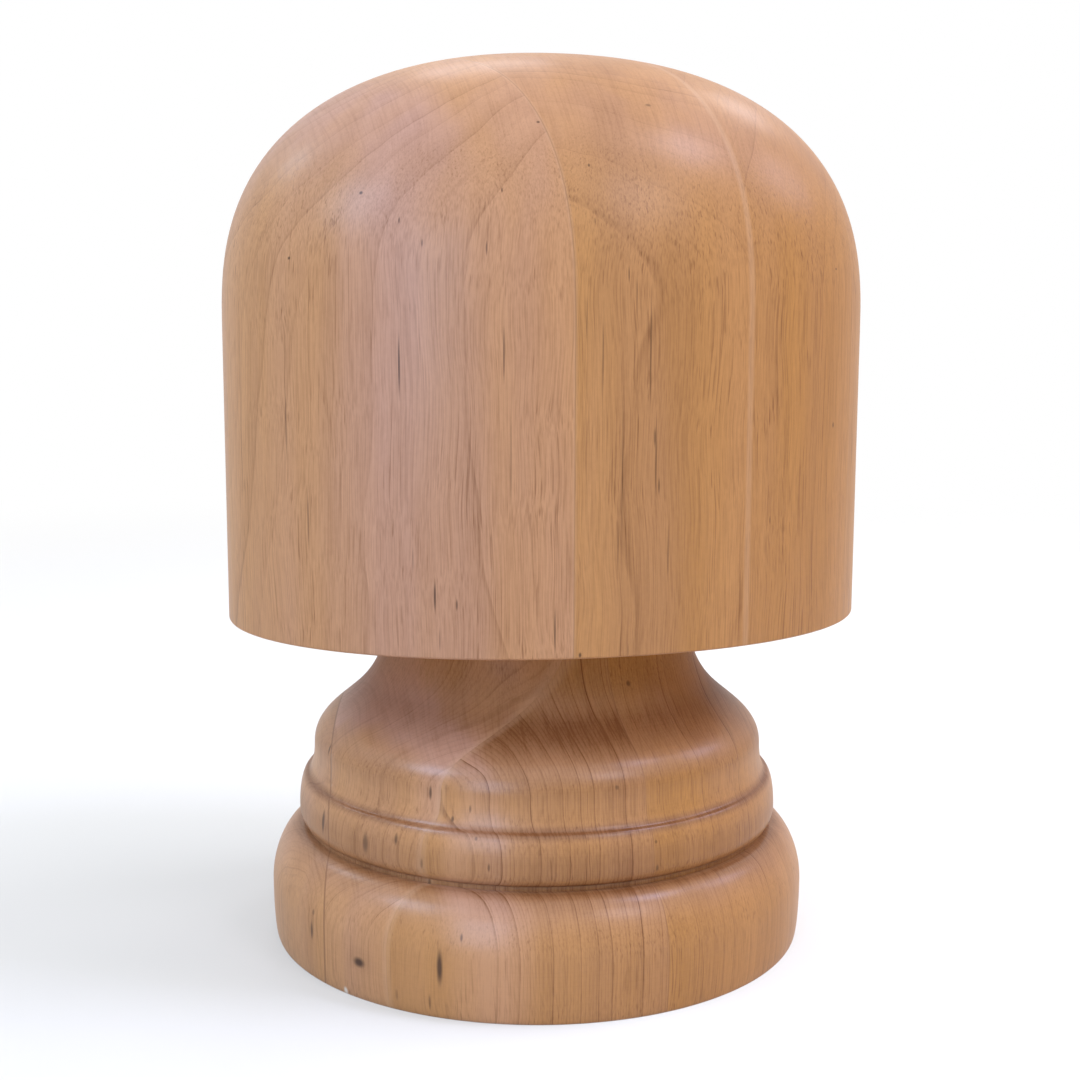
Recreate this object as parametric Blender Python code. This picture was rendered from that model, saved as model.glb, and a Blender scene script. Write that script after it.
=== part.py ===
"""A wooden hat block: an oval domed crown that lifts off a turned base.

The crown and the base are each glued up from upright boards. A plain round peg
stands in a blind bore in the base and enters a blind bore in the crown's
underside, so the crown can be turned to any side and lifted off.

Units are metres. +Z is up, +X runs along the oval's length, and the origin is
the centre of the base's foot, on the axis of the peg.
"""

import math

import bmesh
import bpy
from mathutils import Matrix, Vector

# Crown: a 58 cm head oval with straight walls and a domed top.
OVAL_LENGTH = 0.203
OVAL_WIDTH = 0.163
OVAL_FULLNESS = 2.05
WALL_HEIGHT = 0.0918
DOME_RISE = 0.0814
DOME_SHOULDER = 2.50
DOME_TOP = 2.37
CROWN_EDGE_ROUND = 0.0008
CROWN_SHIFT = 0.0026

# Boards of the crown, seen from above: the turn of their stack from +X, the
# thickness of its two outermost boards, and the place of the glue line between
# the two inner ones.
CROWN_STACK_ANGLE = math.radians(20)
CROWN_LEFT_BOARD = 0.0589
CROWN_MIDDLE_SEAM = 0.011
CROWN_RIGHT_BOARD = 0.0369

# Base: the mouldings' heights from the floor up, their widest radii as steps in
# from the lower roll, and how far each quirk and ledge is cut in.
LOWER_ROLL_RADIUS = 0.0868
LOWER_ROLL_UNDER = 0.0176
LOWER_ROLL_OVER = 0.0179
LOWER_ROLL_FULLNESS = 1.85
LOWER_ROLL_LEDGE = 0.0103
FOOT_TUCK = 0.0013
FILLET_HEIGHT = 0.0013
FILLET_CUT = 0.0010
MIDDLE_ROLL_STEP = 0.0090
MIDDLE_ROLL_UNDER = 0.0047
MIDDLE_ROLL_OVER = 0.0108
MIDDLE_ROLL_QUIRK = 0.0026
UPPER_ROLL_STEP = 0.0050
UPPER_ROLL_UNDER = 0.0094
UPPER_ROLL_QUIRK = 0.0023
NECK_RADIUS = 0.0492
NECK_HEIGHT = 0.0423
NECK_HOLLOW = 0.0297
NECK_SHOULDER = 0.0146

# Boards of the base, as for the crown. Its leftmost board has a slanted edge, and
# left of the middle glue line a front board is glued on square to the others.
BASE_STACK_ANGLE = math.radians(12.5)
BASE_LEFT_BOARD = 0.0228
BASE_LEFT_SLANT = math.radians(-26.5)
BASE_FRONT_BOARD = 0.0398
BASE_MIDDLE_SEAM = -0.0022
BASE_RIGHT_BOARD = 0.0270

# The glue lines at which each board ends, by number, and its side of them: -1 for
# the left or back and 1 for the right or front.
CROWN_BOARDS = (((1, -1),), ((1, 1), (2, -1)), ((2, 1), (3, -1)), ((3, 1),))
BASE_BOARDS = (((1, -1),), ((1, 1), (2, -1), (3, -1)), ((2, 1), (3, -1)), ((3, 1), (4, -1)), ((4, 1),))

# Peg and its two bores.
PEG_RADIUS = 0.0095
PEG_IN_BASE = 0.045
PEG_IN_CROWN = 0.040
PEG_CHAMFER = 0.0012
PEG_CLEARANCE = 0.0003
BORE_HEADROOM = 0.003
BORE_COUNTERSINK = 0.0015

# Gaps between pieces that touch.
GLUE_GAP = 0.0003
SEAT_GAP = 0.0003

# Mesh fineness.
ROUND_STEPS = 64
DOME_STEPS = 14
EDGE_STEPS = 3
CURVE_STEPS = 6
NECK_STEPS = 12
SHARP_ANGLE = math.radians(32)

# Finish: one tone for each board, satin varnish over a pale hardwood.
CROWN_TONES = ((0.53, 0.32, 0.19), (0.56, 0.33, 0.20), (0.52, 0.31, 0.18), (0.49, 0.29, 0.16))
BASE_TONES = ((0.48, 0.28, 0.16), (0.50, 0.28, 0.16), (0.47, 0.26, 0.14),
              (0.44, 0.24, 0.13), (0.46, 0.26, 0.14))
PEG_TONE = (0.56, 0.38, 0.22)
VARNISH_ROUGHNESS = 0.38
BARE_WOOD_ROUGHNESS = 0.65

BASE_HEIGHT = (LOWER_ROLL_UNDER + LOWER_ROLL_OVER + FILLET_HEIGHT + MIDDLE_ROLL_UNDER
               + MIDDLE_ROLL_OVER + UPPER_ROLL_UNDER + NECK_HEIGHT)
MIDDLE_ROLL_RADIUS = LOWER_ROLL_RADIUS - MIDDLE_ROLL_STEP
UPPER_ROLL_RADIUS = MIDDLE_ROLL_RADIUS - UPPER_ROLL_STEP
CROWN_LEVEL = BASE_HEIGHT + SEAT_GAP
CROWN_HEIGHT = WALL_HEIGHT + DOME_RISE
BORE_RADIUS = PEG_RADIUS + PEG_CLEARANCE


def clear_scene():
    """Removes every object of the opened scene."""
    for item in list(bpy.data.objects):
        bpy.data.objects.remove(item, do_unlink=True)


def wood(name, tone, roughness):
    """A plain wood material of one tone."""
    material = bpy.data.materials.new(name)
    material.use_nodes = True
    shader = material.node_tree.nodes["Principled BSDF"]
    shader.inputs["Base Color"].default_value = (*tone, 1.0)
    shader.inputs["Roughness"].default_value = roughness
    shader.inputs["Metallic"].default_value = 0.0
    material.diffuse_color = (*tone, 1.0)
    return material


def solid_from_rings(name, rings):
    """A closed mesh through rings of equal point counts, with flat end caps."""
    bm = bmesh.new()
    loops = [[bm.verts.new(point) for point in ring] for ring in rings]
    count = len(loops[0])
    for lower, upper in zip(loops, loops[1:]):
        for i in range(count):
            j = (i + 1) % count
            bm.faces.new((lower[i], lower[j], upper[j], upper[i]))
    bm.faces.new(list(reversed(loops[0])))
    bm.faces.new(loops[-1])
    bm.normal_update()
    mesh = bpy.data.meshes.new(name)
    bm.to_mesh(mesh)
    bm.free()
    mesh.shade_smooth()
    mesh.set_sharp_from_angle(angle=SHARP_ANGLE)
    return mesh


def turned_solid(name, profile):
    """A solid of revolution about Z from (radius, height) points, bottom to top."""
    turns = [2 * math.pi * i / ROUND_STEPS for i in range(ROUND_STEPS)]
    rings = [[(r * math.cos(t), r * math.sin(t), z) for t in turns] for r, z in profile]
    return solid_from_rings(name, rings)


def quarter_curve(start, end, upright_first, fullness=2.0):
    """Points of a quarter oval between two (radius, height) points, without the start.

    The curve is upright at the start if upright_first is true, else at the end.
    """
    points = []
    for i in range(1, CURVE_STEPS + 1):
        angle = 0.5 * math.pi * i / CURVE_STEPS
        rise = math.sin(angle) ** (2 / fullness)
        fall = 1 - max(math.cos(angle), 0.0) ** (2 / fullness)
        across, along = (fall, rise) if upright_first else (rise, fall)
        points.append((start[0] + (end[0] - start[0]) * across,
                       start[1] + (end[1] - start[1]) * along))
    return points


def swept_curve(start, end, start_pull, end_pull, steps):
    """Points of an S-shaped curve, upright at both ends, without its start."""
    points = []
    for i in range(1, steps + 1):
        t = i / steps
        weights = ((1 - t) ** 3, 3 * (1 - t) ** 2 * t, 3 * (1 - t) * t ** 2, t ** 3)
        radii = (start[0], start[0], end[0], end[0])
        heights = (start[1], start[1] + start_pull, end[1] - end_pull, end[1])
        points.append((sum(w * r for w, r in zip(weights, radii)),
                       sum(w * z for w, z in zip(weights, heights))))
    return points


def base_profile():
    """The base's turned outline, from its foot to the top of its neck."""
    foot = (LOWER_ROLL_RADIUS - FOOT_TUCK, 0.0)
    lower_wide = (LOWER_ROLL_RADIUS, LOWER_ROLL_UNDER)
    lower_top = (LOWER_ROLL_RADIUS - LOWER_ROLL_LEDGE, lower_wide[1] + LOWER_ROLL_OVER)
    fillet_foot = (lower_top[0] - FILLET_CUT, lower_top[1])
    fillet_top = (fillet_foot[0], fillet_foot[1] + FILLET_HEIGHT)
    middle_foot = (MIDDLE_ROLL_RADIUS - MIDDLE_ROLL_QUIRK, fillet_top[1])
    middle_wide = (MIDDLE_ROLL_RADIUS, middle_foot[1] + MIDDLE_ROLL_UNDER)
    quirk = (UPPER_ROLL_RADIUS - UPPER_ROLL_QUIRK, middle_wide[1] + MIDDLE_ROLL_OVER)
    upper_wide = (UPPER_ROLL_RADIUS, quirk[1] + UPPER_ROLL_UNDER)
    neck_top = (NECK_RADIUS, upper_wide[1] + NECK_HEIGHT)

    profile = [foot]
    profile += quarter_curve(foot, lower_wide, False)
    profile += quarter_curve(lower_wide, lower_top, True, LOWER_ROLL_FULLNESS)
    profile += [fillet_foot, fillet_top, middle_foot]
    profile += quarter_curve(middle_foot, middle_wide, False)
    profile += quarter_curve(middle_wide, quirk, True)
    profile += quarter_curve(quirk, upper_wide, False)
    profile += swept_curve(upper_wide, neck_top, NECK_SHOULDER, NECK_HOLLOW, NECK_STEPS)
    return profile


def oval_ring(share, height, inset=0.0):
    """One level ring of the crown: a share of the head oval, drawn in by an inset."""
    half_length = 0.5 * OVAL_LENGTH * share - inset
    half_width = 0.5 * OVAL_WIDTH * share - inset
    ring = []
    for i in range(ROUND_STEPS):
        turn = 2 * math.pi * i / ROUND_STEPS
        c, s = math.cos(turn), math.sin(turn)
        ring.append((half_length * math.copysign(abs(c) ** (2 / OVAL_FULLNESS), c),
                     half_width * math.copysign(abs(s) ** (2 / OVAL_FULLNESS), s),
                     height))
    return ring


def crown_solid(name):
    """The whole crown before it is divided into boards, standing on Z = 0."""
    rings = []
    for i in range(EDGE_STEPS + 1):
        angle = 0.5 * math.pi * i / EDGE_STEPS
        inset = CROWN_EDGE_ROUND * (1 - math.sin(angle))
        rings.append(oval_ring(1.0, CROWN_EDGE_ROUND * (1 - math.cos(angle)), inset))
    for i in range(DOME_STEPS):
        angle = 0.5 * math.pi * i / DOME_STEPS
        share = math.cos(angle) ** (2 / DOME_TOP)
        rise = math.sin(angle) ** (2 / DOME_SHOULDER)
        rings.append(oval_ring(share, WALL_HEIGHT + DOME_RISE * rise))
    mesh = solid_from_rings(name, rings)
    close_dome(mesh)
    return mesh


def close_dome(mesh):
    """Raises the small flat cap of the crown to the dome's highest point."""
    bm = bmesh.new()
    bm.from_mesh(mesh)
    cap = max(bm.faces, key=lambda face: face.calc_center_median().z)
    poked = bmesh.ops.poke(bm, faces=[cap])
    poked["verts"][0].co.z = CROWN_HEIGHT
    for face in poked["faces"]:
        face.smooth = True
    bm.to_mesh(mesh)
    bm.free()


def add_object(name, mesh, parent=None, place=(0.0, 0.0, 0.0)):
    """Links a mesh object into the scene, under a parent if one is given."""
    item = bpy.data.objects.new(name, mesh)
    bpy.context.scene.collection.objects.link(item)
    item.parent = parent
    item.location = place
    return item


def add_cutter(name, mesh, parent=None, place=(0.0, 0.0, 0.0)):
    """A guide solid that shapes other pieces and is never part of the object."""
    cutter = add_object(name, mesh, parent, place)
    cutter.hide_render = True
    cutter.display_type = "WIRE"
    return cutter


def cut_away(item, cutter):
    """Cuts a piece with a cutter, by an exact Boolean."""
    modifier = item.modifiers.new(cutter.name, "BOOLEAN")
    modifier.operation = "DIFFERENCE"
    modifier.solver = "EXACT"
    modifier.object = cutter


def side_mesh(name, seam, side, reach, height):
    """A block that fills the space on one side of an upright glue line.

    A seam is its distance from the centre and its direction, as an angle from +X.
    The side is -1 for the left of it and 1 for the right.
    """
    distance, angle = seam
    bm = bmesh.new()
    bmesh.ops.create_cube(bm, size=1.0)
    size = Vector((4 * reach, 8 * reach, 2 * height))
    middle = distance + side * 0.5 * (size.x - GLUE_GAP)
    place = Matrix.Rotation(angle, 4, "Z") @ Matrix.Translation((middle, 0.0, 0.5 * height))
    bmesh.ops.transform(bm, matrix=place @ Matrix.Diagonal((*size, 1.0)), verts=bm.verts)
    mesh = bpy.data.meshes.new(name)
    bm.to_mesh(mesh)
    bm.free()
    return mesh


def bore_mesh(name, floor, mouth):
    """A blind bore's cutter from its floor to its mouth, with a countersink there.

    The mouth may lie above the floor or below it, and the cutter runs on past it.
    """
    outward = math.copysign(1.0, mouth - floor)
    past = mouth + outward * BORE_COUNTERSINK
    profile = [(BORE_RADIUS, floor),
               (BORE_RADIUS, mouth - outward * BORE_COUNTERSINK),
               (BORE_RADIUS + 2 * BORE_COUNTERSINK, past)]
    if outward < 0:
        profile.reverse()
    return turned_solid(name, profile)


def add_boards(prefix, whole, bore, seams, boards, reach, height, tones,
               parent=None, place=(0.0, 0.0, 0.0)):
    """Divides a whole solid into boards at its glue lines and drills the bore."""
    sides = {}
    for number, seam in enumerate(seams, start=1):
        for label, side in (("left", -1), ("right", 1)):
            name = f"{prefix}_seam_{number}_{label}"
            block = side_mesh(name, seam, side, reach, height)
            sides[number, side] = add_cutter(name, block, parent, place)
    for number, (ends, tone) in enumerate(zip(boards, tones), start=1):
        name = f"{prefix}_{number}"
        board = add_object(name, whole.copy(), parent, place)
        board.data.name = name
        for seam, side in ends:
            cut_away(board, sides[seam, -side])
        cut_away(board, bore)
        board.data.materials.append(wood(name, tone, VARNISH_ROUGHNESS))


def add_base():
    """The turned base: upright boards round the blind bore of the peg."""
    whole = turned_solid("base_whole", base_profile())
    floor = BASE_HEIGHT - PEG_IN_BASE - SEAT_GAP
    bore = add_cutter("base_bore", bore_mesh("base_bore", floor, BASE_HEIGHT))
    seams = ((BASE_LEFT_BOARD - LOWER_ROLL_RADIUS, BASE_STACK_ANGLE + BASE_LEFT_SLANT),
             (LOWER_ROLL_RADIUS - BASE_FRONT_BOARD, BASE_STACK_ANGLE - 0.5 * math.pi),
             (BASE_MIDDLE_SEAM, BASE_STACK_ANGLE),
             (LOWER_ROLL_RADIUS - BASE_RIGHT_BOARD, BASE_STACK_ANGLE))
    add_boards("base_board", whole, bore, seams, BASE_BOARDS,
               LOWER_ROLL_RADIUS, BASE_HEIGHT, BASE_TONES)


def add_crown(carrier):
    """The crown: upright boards, with the peg's bore rising from the underside."""
    whole = crown_solid("crown_whole")
    bore = add_cutter("crown_bore", bore_mesh("crown_bore", PEG_IN_CROWN + BORE_HEADROOM, 0.0), carrier)
    reach = math.hypot(0.5 * OVAL_LENGTH * math.cos(CROWN_STACK_ANGLE),
                       0.5 * OVAL_WIDTH * math.sin(CROWN_STACK_ANGLE))
    seams = ((CROWN_LEFT_BOARD - reach, CROWN_STACK_ANGLE),
             (CROWN_MIDDLE_SEAM, CROWN_STACK_ANGLE),
             (reach - CROWN_RIGHT_BOARD, CROWN_STACK_ANGLE))
    place = (CROWN_SHIFT, 0.0, 0.0)
    add_boards("crown_board", whole, bore, seams, CROWN_BOARDS,
               reach, CROWN_HEIGHT, CROWN_TONES, carrier, place)


def add_peg():
    """The loose peg, with its origin on the turning axis, at its lower end."""
    length = PEG_IN_BASE + SEAT_GAP + PEG_IN_CROWN
    profile = [(PEG_RADIUS - PEG_CHAMFER, 0.0),
               (PEG_RADIUS, PEG_CHAMFER),
               (PEG_RADIUS, length - PEG_CHAMFER),
               (PEG_RADIUS - PEG_CHAMFER, length)]
    mesh = turned_solid("peg", profile)
    mesh.materials.append(wood("peg", PEG_TONE, BARE_WOOD_ROUGHNESS))
    return add_object("peg", mesh, place=(0.0, 0.0, BASE_HEIGHT - PEG_IN_BASE))


def main():
    clear_scene()
    add_base()
    add_peg()
    carrier = add_object("crown_carrier", None, place=(0.0, 0.0, CROWN_LEVEL))
    add_crown(carrier)


main()
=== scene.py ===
"""A hat block's looks: an oval domed crown on a round turned base, all in pale brown wood.

Every piece stands where its CAD solid stands. Units are metres, +Z is up, +X runs
along the crown's oval, and the origin is the centre of the base's foot.
"""

import logging
import math
from dataclasses import dataclass, replace
from enum import Enum
from typing import Callable, Optional, Union

import bmesh
import bpy
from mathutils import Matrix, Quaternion, Vector


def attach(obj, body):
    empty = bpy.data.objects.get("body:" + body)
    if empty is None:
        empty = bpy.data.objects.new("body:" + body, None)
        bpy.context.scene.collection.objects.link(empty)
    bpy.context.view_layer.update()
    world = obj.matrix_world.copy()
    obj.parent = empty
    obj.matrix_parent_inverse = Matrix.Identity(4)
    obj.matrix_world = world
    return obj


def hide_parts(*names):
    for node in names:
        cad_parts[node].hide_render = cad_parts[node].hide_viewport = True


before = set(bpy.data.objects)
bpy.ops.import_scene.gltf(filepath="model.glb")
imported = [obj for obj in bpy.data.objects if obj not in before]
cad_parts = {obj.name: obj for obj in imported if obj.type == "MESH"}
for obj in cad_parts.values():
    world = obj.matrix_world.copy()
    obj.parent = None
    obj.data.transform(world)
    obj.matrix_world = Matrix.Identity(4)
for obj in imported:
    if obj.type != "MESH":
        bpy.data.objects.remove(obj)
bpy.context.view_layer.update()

LOG = logging.getLogger("hat_block")

SHARP_ANGLE = math.radians(32.0)
BORE_SIDES = 128
MARK_MARGIN = 0.002
BAND_ANGLE = math.radians(20.0)

ALONG_X = (1.0, 0.0, 0.0)
ALONG_Y = (0.0, 1.0, 0.0)
UP = (0.0, 0.0, 1.0)

Colour = tuple[float, float, float]
Place = tuple[float, float, float]
Point = tuple[float, float]
Profile = list[Point]
Step = tuple[float, float]


class Body(Enum):
    """The CAD bodies that pieces ride on."""

    BASE = "base"
    PEG = "peg"
    CROWN = "crown"


class Slot(Enum):
    """The record's material slots."""

    BASE = "base_wood"
    PEG = "peg_wood"
    CROWN = "crown_wood"


class Cut(Enum):
    """Which side of a glue line is kept."""

    LEFT = -1
    RIGHT = 1


@dataclass(frozen=True)
class Signal:
    """One output socket of a material, with the operators that add Math nodes to it."""

    sheet: "NodeSheet"
    socket: bpy.types.NodeSocket

    def __add__(self, other: "Number") -> "Signal":
        """The sum of two numbers."""
        return self.sheet.maths("ADD", self, other)

    __radd__ = __add__

    def __sub__(self, other: "Number") -> "Signal":
        """The difference of two numbers."""
        return self.sheet.maths("SUBTRACT", self, other)

    def __rsub__(self, other: float) -> "Signal":
        """The difference of two numbers, this one last."""
        return self.sheet.maths("SUBTRACT", other, self)

    def __mul__(self, other: "Number") -> "Signal":
        """The product of two numbers."""
        return self.sheet.maths("MULTIPLY", self, other)

    __rmul__ = __mul__

    def root(self) -> "Signal":
        """The square root."""
        return self.sheet.maths("SQRT", self)

    def fraction(self) -> "Signal":
        """The part after the decimal point."""
        return self.sheet.maths("FRACT", self)

    def floor(self) -> "Signal":
        """The whole number below."""
        return self.sheet.maths("FLOOR", self)

    def size(self) -> "Signal":
        """The value without its sign."""
        return self.sheet.maths("ABSOLUTE", self)

    def most(self, other: "Number") -> "Signal":
        """The larger of two numbers."""
        return self.sheet.maths("MAXIMUM", self, other)

    def held(self) -> "Signal":
        """The value kept between 0 and 1."""
        return self.sheet.maths("MINIMUM", self.most(0.0), 1.0)

    def fade(self, start: float, end: float) -> "Signal":
        """A smooth step: 0 at the start and 1 at the end, which may lie below it."""
        low, high = min(start, end), max(start, end)
        step = self.sheet.node("ShaderNodeMapRange", {"interpolation_type": "SMOOTHSTEP"},
                               {"Value": self, "From Min": low, "From Max": high})
        return step if start < end else 1.0 - step


Number = Union[Signal, float]


class NodeSheet:
    """A material's node tree, with the few ways in which nodes are added to it."""

    def __init__(self, owner: Union[bpy.types.Material, bpy.types.World]) -> None:
        """Clears the node tree of a material or of the surroundings."""
        owner.use_nodes = True
        self.tree = owner.node_tree
        self.tree.nodes.clear()

    def node(self, kind: str, settings: Optional[dict] = None, inputs: Optional[dict] = None,
             output: Union[int, str] = 0) -> Signal:
        """Adds one node of any type."""
        made = self.tree.nodes.new(kind)
        for name, value in (settings or {}).items():
            setattr(made, name, value)
        for key, value in (inputs or {}).items():
            if isinstance(value, Signal):
                self.tree.links.new(value.socket, made.inputs[key])
            else:
                made.inputs[key].default_value = value
        return Signal(self, made.outputs[output] if made.outputs else made.inputs[0])

    def maths(self, operation: str, *values: Number) -> Signal:
        """Adds a Math node for one operation on numbers or signals."""
        return self.node("ShaderNodeMath", {"operation": operation}, dict(enumerate(values)))

    def place(self) -> Signal:
        """The point on the piece, in metres."""
        return self.node("ShaderNodeTexCoord", output="Object")

    def along(self, point: Signal, direction: Place) -> Signal:
        """How far a point lies along a direction."""
        return self.node("ShaderNodeVectorMath", {"operation": "DOT_PRODUCT"}, {0: point, 1: direction},
                         "Value")

    def stretched(self, point: Signal, rates: Place,
                  shift: Union[Signal, Place] = (0.0, 0.0, 0.0)) -> Signal:
        """A point scaled by a rate along each axis and then shifted."""
        return self.node("ShaderNodeVectorMath", {"operation": "MULTIPLY_ADD"},
                         {0: point, 1: rates, 2: shift})

    def noise(self, point: Signal, detail: float = 2.0, roughness: float = 0.5,
              output: Union[int, str] = 0) -> Signal:
        """Soft noise over a stretched point, about 0.5 on average."""
        return self.node("ShaderNodeTexNoise", {"noise_dimensions": "3D"},
                         {"Vector": point, "Scale": 1.0, "Detail": detail, "Roughness": roughness}, output)

    def ripple(self, value: Signal) -> Signal:
        """Soft noise over one number, about 0.5 on average."""
        return self.node("ShaderNodeTexNoise", {"noise_dimensions": "1D"},
                         {"W": value, "Scale": 1.0, "Detail": 2.0})

    def chance(self, value: Signal) -> Signal:
        """A random share from 0 to 1 for each whole number."""
        return self.node("ShaderNodeTexWhiteNoise", {"noise_dimensions": "1D"}, {"W": value})

    def blend(self, first: Union[Signal, Colour], second: Union[Signal, Colour], share: Number) -> Signal:
        """Mixes two colours."""
        colours = {key: value if isinstance(value, Signal) else (*value, 1.0)
                   for key, value in ((6, first), (7, second))}
        return self.node("ShaderNodeMix", {"data_type": "RGBA"}, {0: share, **colours}, 2)


class PieceSheet(NodeSheet):
    """A piece's material, with the point on the piece, its height and its slope at hand."""

    def __init__(self, owner: bpy.types.Material) -> None:
        """Clears the material and measures the point."""
        super().__init__(owner)
        self.point = self.place()
        self.level = self.along(self.point, UP)
        self.upward = self.along(self.node("ShaderNodeTexCoord", output="Normal"), UP).size()

    def from_axis(self, foot: Point = (0.0, 0.0), lean: Point = (0.0, 0.0)) -> Signal:
        """How far the point lies from an axis, which is the Z axis unless told otherwise."""
        across, inward = (self.along(self.point, direction) - start - self.level * slant
                          for direction, start, slant in zip((ALONG_X, ALONG_Y), foot, lean))
        return (across * across + inward * inward).root()


@dataclass(frozen=True)
class Mark:
    """A fleck, knot or chip: a spot of darker or paler wood at a place in a board.

    Its depth is the share of the stain's colour at its middle. A pale chip's is below 0. It has its
    full colour up to the core and none from the rim on, which are both shares of its radius.
    """

    place: Place
    radius: float
    stretch: float
    depth: float
    core: float = 0.35
    rim: float = 1.5


@dataclass(frozen=True)
class Band:
    """A soft upright band: its place, half its width, and what it adds. Some bands are other wood and some
    are painted sheen and reflection, as each board's list says.

    The place is measured from the Z axis at BAND_ANGLE, the way the crown's boards are stacked.
    """

    place: float
    reach: float
    rose: float = 0.0
    shade: float = 0.0


@dataclass(frozen=True)
class Timber:
    """How a board was sawn from its log, which sets how the rings cross its face.

    The pith is where the log's middle meets the floor, and the lean is how fast it moves sideways
    with height. A ring is the width of one year's growth, and no line shows within the clear radius.
    """

    pith: Point
    lean: Point = (0.0, 0.0)
    ring: float = 0.0046
    ring_strength: float = 0.16
    late_wood: float = 0.05
    fine_rings: float = 0.02
    wobble: float = 0.011
    seed: float = 0.0
    warmth: float = 0.0
    shade: float = 0.0
    dashes: float = 0.28
    # Darkening of faces that look up: end grain taking the stain, and painted shade of the crown over the
    # base's neck.
    end_grain_and_shade: float = 0.0
    fibres: float = 1.0
    clear: float = 0.0
    bands: tuple[Band, ...] = ()

    def shift(self, along_x: float, along_y: float, along_z: float) -> Place:
        """How far this board's noise is moved, so that no two boards have the same."""
        return (self.seed * along_x, self.seed * along_y, self.seed * along_z)


@dataclass(frozen=True)
class Seam:
    """An upright glue line: where it lies, and the strength and half width of its two tones."""

    distance: float
    angle: float
    centre: float = 0.0
    pale: float = 0.25
    pale_width: float = 0.0006
    dark: float = 0.15
    dark_width: float = 0.00028
    pale_core: float = 0.2
    dark_core: float = 0.3

    def normal(self) -> Place:
        """The direction straight across the glue line."""
        return (math.cos(self.angle), math.sin(self.angle), 0.0)

    def offset(self) -> float:
        """How far the glue line lies from the Z axis along its normal."""
        return self.distance + self.centre * math.cos(self.angle)


Edges = tuple[tuple[Seam, Cut], ...]


@dataclass(frozen=True)
class StainAndShadeHoop:
    """A dark hoop round the turned base at a height. The thin ones at the quirks are stain and painted
    shade, and the broad ones over the rolls and the neck are painted shade. Its height, half its width and
    its depth of tone.
    """

    height: float
    reach: float
    strength: float


@dataclass(frozen=True)
class Grain:
    """The shading of a board, from its grain and from the painted shade on faces that look up: all of it,
    and the parts of the grain that also give relief.
    """

    shade: Signal
    streaks: Signal
    pores: Signal
    fine: Signal


@dataclass(frozen=True)
class Waver:
    """A soft sideways wander: its rate along each axis, and how far it reaches."""

    rates: Place
    reach: float = 1.0

    def drawn(self, sheet: PieceSheet, shift: Place = (0.0, 0.0, 0.0)) -> Signal:
        """The wander at the point, to either side of 0."""
        return (sheet.noise(sheet.stretched(sheet.point, self.rates, shift)) - 0.5) * self.reach


@dataclass(frozen=True)
class Fleck:
    """One kind of streak: its rate along each axis, the part of its noise that shows, and its weight."""

    rates: Place
    low: float
    high: float
    detail: float = 1.0
    weight: float = 1.0
    roughness: float = 0.6

    def drawn(self, sheet: NodeSheet, point: Signal, shift: Place) -> Signal:
        """The streaks: 0 between them and 1 along them."""
        noise = sheet.noise(sheet.stretched(point, self.rates, shift), self.detail, self.roughness)
        return noise.fade(self.low, self.high)


@dataclass(frozen=True)
class RingLook:
    """How growth rings are drawn: how they waver, break and darken towards the late wood.

    Their spacing varies at a rate per metre and by a number of rings. The small rings are the faint
    ones between the others.
    """

    slow: Waver = Waver((16.0, 16.0, 7.0))
    quick: Waver = Waver((75.0, 75.0, 20.0), 0.0014)
    breaks: Fleck = Fleck((60.0, 60.0, 30.0), 0.38, 0.58, 2.0, 0.6, 0.5)
    spacing: tuple[float, float] = (130.0, 1.4)
    faintest: float = 0.25
    line_rise: Step = (0.90, 0.965)
    line_end: Step = (1.0, 0.98)
    small_rings: float = 4.1
    small_spacing: tuple[float, float] = (420.0, 1.2)
    small_rise: Step = (0.55, 0.93)
    small_end: Step = (1.0, 0.95)
    clearing: float = 0.004

    def drawn(self, sheet: PieceSheet, timber: Timber) -> Signal:
        """How dark the growth rings make the point: thin broken lines over a soft rise."""
        shift = timber.shift(1.0, 2.3, 0.7)
        radius = (sheet.from_axis(timber.pith, timber.lean) + self.slow.drawn(sheet, shift) * timber.wobble
                  + self.quick.drawn(sheet, shift))
        rate, reach = self.spacing
        turn = radius * (1.0 / timber.ring) + sheet.ripple(radius * rate) * reach + timber.seed
        part = turn.fraction()
        strength = sheet.chance(turn.floor()) * (1.0 - self.faintest) + self.faintest
        broken = self.breaks.drawn(sheet, sheet.point, (0.0, 0.0, 0.0))
        line = (part.fade(*self.line_rise) * part.fade(*self.line_end)
                * (broken * self.breaks.weight + (1.0 - self.breaks.weight)))
        rate, reach = self.small_spacing
        small = (radius * (self.small_rings / timber.ring) + sheet.ripple(radius * rate) * reach).fraction()
        small_line = small.fade(*self.small_rise) * small.fade(*self.small_end)
        dark = (line * timber.ring_strength + part * part * timber.late_wood) * strength
        if timber.clear:
            opening = radius.fade(timber.clear, timber.clear + self.clearing)
            dark, small_line = dark * opening, small_line * opening
        return dark + small_line * timber.fine_rings


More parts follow.
